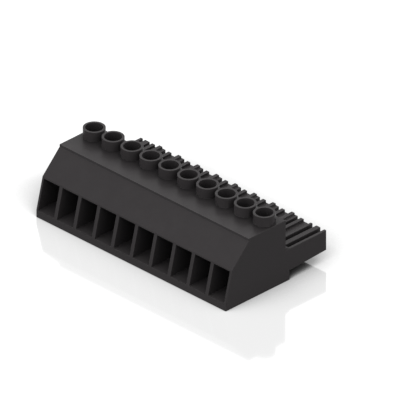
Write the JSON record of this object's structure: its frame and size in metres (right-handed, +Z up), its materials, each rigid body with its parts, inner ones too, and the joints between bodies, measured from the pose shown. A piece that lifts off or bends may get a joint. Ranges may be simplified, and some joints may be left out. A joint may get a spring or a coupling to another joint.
{
  "type": "pluggable terminal block connector",
  "caption": "Pluggable screw terminal plug with wire pockets in front, screwdriver towers on top and a ribbed mating section behind.",
  "frame": {"origin": "centre of the bounding box at the underside of the base", "axes": "+X along the row of poles, +Y towards the mating section, +Z up; the wires enter from -Y"},
  "size_m": [0.0764, 0.0406, 0.0232],
  "materials": {
    "housing_plastic": "fine matt moulding texture",
    "contact_metal": "tin plated",
    "spring_steel": "bright rolled strip",
    "clamp_steel": "zinc plated",
    "screw_steel": "zinc plated"
  },
  "bodies": {
    "housing": {"housing": "housing_plastic", "contact_1": "contact_metal", "contact_2": "contact_metal", "contact_3": "contact_metal", "contact_4": "contact_metal", "contact_5": "contact_metal", "contact_6": "contact_metal", "contact_7": "contact_metal", "contact_8": "contact_metal", "contact_9": "contact_metal", "contact_10": "contact_metal", "contact_spring_1": "spring_steel", "contact_spring_2": "spring_steel", "contact_spring_3": "spring_steel", "contact_spring_4": "spring_steel", "contact_spring_5": "spring_steel", "contact_spring_6": "spring_steel", "contact_spring_7": "spring_steel", "contact_spring_8": "spring_steel", "contact_spring_9": "spring_steel", "contact_spring_10": "spring_steel"},
    "screw_1": {"clamp_screw_1": "screw_steel"},
    "clamp_1": {"clamp_yoke_1": "clamp_steel"},
    "screw_2": {"clamp_screw_2": "screw_steel"},
    "clamp_2": {"clamp_yoke_2": "clamp_steel"},
    "screw_3": {"clamp_screw_3": "screw_steel"},
    "clamp_3": {"clamp_yoke_3": "clamp_steel"},
    "screw_4": {"clamp_screw_4": "screw_steel"},
    "clamp_4": {"clamp_yoke_4": "clamp_steel"},
    "screw_5": {"clamp_screw_5": "screw_steel"},
    "clamp_5": {"clamp_yoke_5": "clamp_steel"},
    "screw_6": {"clamp_screw_6": "screw_steel"},
    "clamp_6": {"clamp_yoke_6": "clamp_steel"},
    "screw_7": {"clamp_screw_7": "screw_steel"},
    "clamp_7": {"clamp_yoke_7": "clamp_steel"},
    "screw_8": {"clamp_screw_8": "screw_steel"},
    "clamp_8": {"clamp_yoke_8": "clamp_steel"},
    "screw_9": {"clamp_screw_9": "screw_steel"},
    "clamp_9": {"clamp_yoke_9": "clamp_steel"},
    "screw_10": {"clamp_screw_10": "screw_steel"},
    "clamp_10": {"clamp_yoke_10": "clamp_steel"}
  },
  "joints": [
    {"name": "screw_turn_1", "type": "hinge", "parent": "housing", "child": "screw_1", "pos_m": [-0.03429, -0.0008, 0.01465], "axis": [0, 0, -1], "range_deg": [0, 2520]},
    {"name": "clamp_lift_1", "type": "slide", "parent": "housing", "child": "clamp_1", "axis": [0, 0, 1], "range_m": [0, 0.0035]},
    {"name": "screw_turn_2", "type": "hinge", "parent": "housing", "child": "screw_2", "pos_m": [-0.02667, -0.0008, 0.01465], "axis": [0, 0, -1], "range_deg": [0, 2520]},
    {"name": "clamp_lift_2", "type": "slide", "parent": "housing", "child": "clamp_2", "axis": [0, 0, 1], "range_m": [0, 0.0035]},
    {"name": "screw_turn_3", "type": "hinge", "parent": "housing", "child": "screw_3", "pos_m": [-0.01905, -0.0008, 0.01465], "axis": [0, 0, -1], "range_deg": [0, 2520]},
    {"name": "clamp_lift_3", "type": "slide", "parent": "housing", "child": "clamp_3", "axis": [0, 0, 1], "range_m": [0, 0.0035]},
    {"name": "screw_turn_4", "type": "hinge", "parent": "housing", "child": "screw_4", "pos_m": [-0.01143, -0.0008, 0.01465], "axis": [0, 0, -1], "range_deg": [0, 2520]},
    {"name": "clamp_lift_4", "type": "slide", "parent": "housing", "child": "clamp_4", "axis": [0, 0, 1], "range_m": [0, 0.0035]},
    {"name": "screw_turn_5", "type": "hinge", "parent": "housing", "child": "screw_5", "pos_m": [-0.00381, -0.0008, 0.01465], "axis": [0, 0, -1], "range_deg": [0, 2520]},
    {"name": "clamp_lift_5", "type": "slide", "parent": "housing", "child": "clamp_5", "axis": [0, 0, 1], "range_m": [0, 0.0035]},
    {"name": "screw_turn_6", "type": "hinge", "parent": "housing", "child": "screw_6", "pos_m": [0.00381, -0.0008, 0.01465], "axis": [0, 0, -1], "range_deg": [0, 2520]},
    {"name": "clamp_lift_6", "type": "slide", "parent": "housing", "child": "clamp_6", "axis": [0, 0, 1], "range_m": [0, 0.0035]},
    {"name": "screw_turn_7", "type": "hinge", "parent": "housing", "child": "screw_7", "pos_m": [0.01143, -0.0008, 0.01465], "axis": [0, 0, -1], "range_deg": [0, 2520]},
    {"name": "clamp_lift_7", "type": "slide", "parent": "housing", "child": "clamp_7", "axis": [0, 0, 1], "range_m": [0, 0.0035]},
    {"name": "screw_turn_8", "type": "hinge", "parent": "housing", "child": "screw_8", "pos_m": [0.01905, -0.0008, 0.01465], "axis": [0, 0, -1], "range_deg": [0, 2520]},
    {"name": "clamp_lift_8", "type": "slide", "parent": "housing", "child": "clamp_8", "axis": [0, 0, 1], "range_m": [0, 0.0035]},
    {"name": "screw_turn_9", "type": "hinge", "parent": "housing", "child": "screw_9", "pos_m": [0.02667, -0.0008, 0.01465], "axis": [0, 0, -1], "range_deg": [0, 2520]},
    {"name": "clamp_lift_9", "type": "slide", "parent": "housing", "child": "clamp_9", "axis": [0, 0, 1], "range_m": [0, 0.0035]},
    {"name": "screw_turn_10", "type": "hinge", "parent": "housing", "child": "screw_10", "pos_m": [0.03429, -0.0008, 0.01465], "axis": [0, 0, -1], "range_deg": [0, 2520]},
    {"name": "clamp_lift_10", "type": "slide", "parent": "housing", "child": "clamp_10", "axis": [0, 0, 1], "range_m": [0, 0.0035]}
  ],
  "couplings": [
    {"joint": "screw_turn_1", "follows": "clamp_lift_1", "rad_per_m": 12566},
    {"joint": "screw_turn_2", "follows": "clamp_lift_2", "rad_per_m": 12566},
    {"joint": "screw_turn_3", "follows": "clamp_lift_3", "rad_per_m": 12566},
    {"joint": "screw_turn_4", "follows": "clamp_lift_4", "rad_per_m": 12566},
    {"joint": "screw_turn_5", "follows": "clamp_lift_5", "rad_per_m": 12566},
    {"joint": "screw_turn_6", "follows": "clamp_lift_6", "rad_per_m": 12566},
    {"joint": "screw_turn_7", "follows": "clamp_lift_7", "rad_per_m": 12566},
    {"joint": "screw_turn_8", "follows": "clamp_lift_8", "rad_per_m": 12566},
    {"joint": "screw_turn_9", "follows": "clamp_lift_9", "rad_per_m": 12566},
    {"joint": "screw_turn_10", "follows": "clamp_lift_10", "rad_per_m": 12566}
  ]
}
